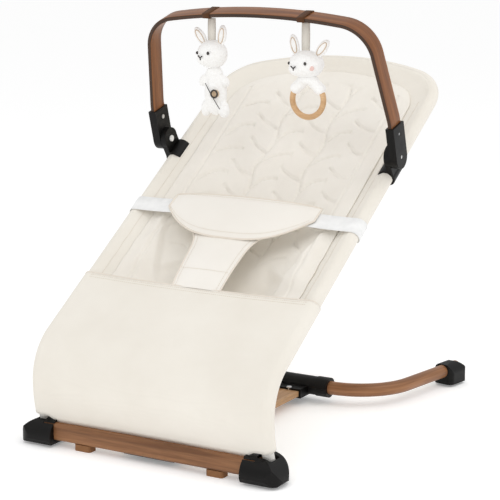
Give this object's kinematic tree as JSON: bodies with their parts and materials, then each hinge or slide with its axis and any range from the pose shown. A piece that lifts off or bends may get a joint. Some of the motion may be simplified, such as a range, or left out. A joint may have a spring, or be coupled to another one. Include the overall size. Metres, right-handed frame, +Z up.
{
  "type": "bouncer seat",
  "caption": "Reclined baby bouncer with a quilted cream sling on a sprung tube frame, a walnut base and a hinged toy bar with two plush rabbits.",
  "frame": {"origin": "middle of the footprint, on the floor", "axes": "+X to the right as seen from the front, +Y from the front feet to the rear feet, +Z up"},
  "size_m": [0.4202, 0.5998, 0.5876],
  "materials": {
    "walnut": "oiled",
    "boot_black": "satin",
    "pad_rubber": "matte",
    "bar_pad": "matte",
    "zinc_screws": "zinc plated",
    "spine_ply": "sealed",
    "bracket_steel": "satin black",
    "hub_black": "satin",
    "bow_walnut": "wood-grain film",
    "barrel_nylon": "satin",
    "frame_paint": "satin",
    "joiner_steel": "drawn",
    "cover_cloth": "brushed cotton",
    "liner_quilt": "quilted",
    "harness_cloth": "padded",
    "webbing": "woven",
    "clip_black": "satin",
    "slider_white": "gloss",
    "toy_bar_walnut": "lacquered",
    "pivot_cap": "gloss",
    "ribbon": "woven",
    "plush": "brushed",
    "ear_cloth": "brushed",
    "button_wood": "sealed",
    "ring_beech": "oiled"
  },
  "bodies": {
    "base": {"front_bar": "walnut", "front_foot_left": "boot_black", "front_foot_right": "boot_black", "front_foot_pad_left": "pad_rubber", "front_foot_pad_right": "pad_rubber", "bar_pads": "bar_pad", "foot_screws": "zinc_screws", "spine_board": "spine_ply", "spine_bracket": "bracket_steel", "spine_screws": "zinc_screws", "hub_upper": "hub_black", "hub_lower": "hub_black", "hub_screws": "zinc_screws", "bow_tube": "bow_walnut", "rear_foot_left": "boot_black", "rear_foot_right": "boot_black", "rear_foot_pad_left": "pad_rubber", "rear_foot_pad_right": "pad_rubber"},
    "seat": {"pivot_barrel_left": "barrel_nylon", "pivot_barrel_right": "barrel_nylon", "seat_tube_left": "frame_paint", "seat_tube_right": "frame_paint", "tube_joiner_left": "joiner_steel", "tube_joiner_right": "joiner_steel", "snap_buttons": "joiner_steel", "seat_hoop": "frame_paint", "cover_sleeve": "cover_cloth", "front_panel": "cover_cloth", "seat_sling": "cover_cloth", "seat_liner": "liner_quilt", "crotch_panel": "harness_cloth", "waist_belt": "harness_cloth", "strap_left": "webbing", "strap_right": "webbing", "clip_left": "clip_black", "clip_right": "clip_black"},
    "slider_left": {"strap_slider_left": "slider_white"},
    "slider_right": {"strap_slider_right": "slider_white"},
    "toy_bar": {"toy_bar": "toy_bar_walnut", "socket_left": "clip_black", "socket_right": "clip_black", "socket_rivets": "zinc_screws", "pivot_pin_left": "pivot_cap", "pivot_pin_right": "pivot_cap", "ribbon_loop_left": "ribbon", "ribbon_loop_right": "ribbon"},
    "toy_left": {"ribbon_left": "ribbon", "rabbit_left_head": "plush", "rabbit_left_ears": "ear_cloth", "rabbit_left_body": "plush", "rabbit_left_button": "button_wood"},
    "toy_right": {"ribbon_right": "ribbon", "rabbit_right_head": "plush", "rabbit_right_ears": "ear_cloth", "rabbit_right_arms": "plush"},
    "ring": {"teether_ring": "ring_beech"}
  },
  "joints": [
    {"name": "seat_bounce", "type": "hinge", "parent": "base", "child": "seat", "pos_m": [0, -0.267, 0.02], "axis": [1, 0, 0], "range_deg": [-5, 2], "stiffness_Nm_per_rad": 250, "springref_deg": 1.26},
    {"name": "toy_bar_swing", "type": "hinge", "parent": "seat", "child": "toy_bar", "pos_m": [0, 0.06064, 0.38287], "axis": [1, 0, 0], "range_deg": [-60, 40]},
    {"name": "toy_left_swing", "type": "hinge", "parent": "toy_bar", "child": "toy_left", "pos_m": [-0.075, 0.0054, 0.573], "axis": [1, 0, 0], "range_deg": [-30, 30]},
    {"name": "toy_right_swing", "type": "hinge", "parent": "toy_bar", "child": "toy_right", "pos_m": [0.078, 0.0055, 0.5728], "axis": [1, 0, 0], "range_deg": [-30, 30]},
    {"name": "ring_turn", "type": "hinge", "parent": "toy_right", "child": "ring", "pos_m": [0.082, 0.0054, 0.4621], "axis": [0, -1, 0], "continuous": true},
    {"name": "strap_slider_left_slide", "type": "slide", "parent": "seat", "child": "slider_left", "axis": [0.9802, 0.108, -0.166], "range_m": [-0.008, 0.012]},
    {"name": "strap_slider_right_slide", "type": "slide", "parent": "seat", "child": "slider_right", "axis": [-0.9802, 0.108, -0.166], "range_m": [-0.008, 0.012]}
  ]
}
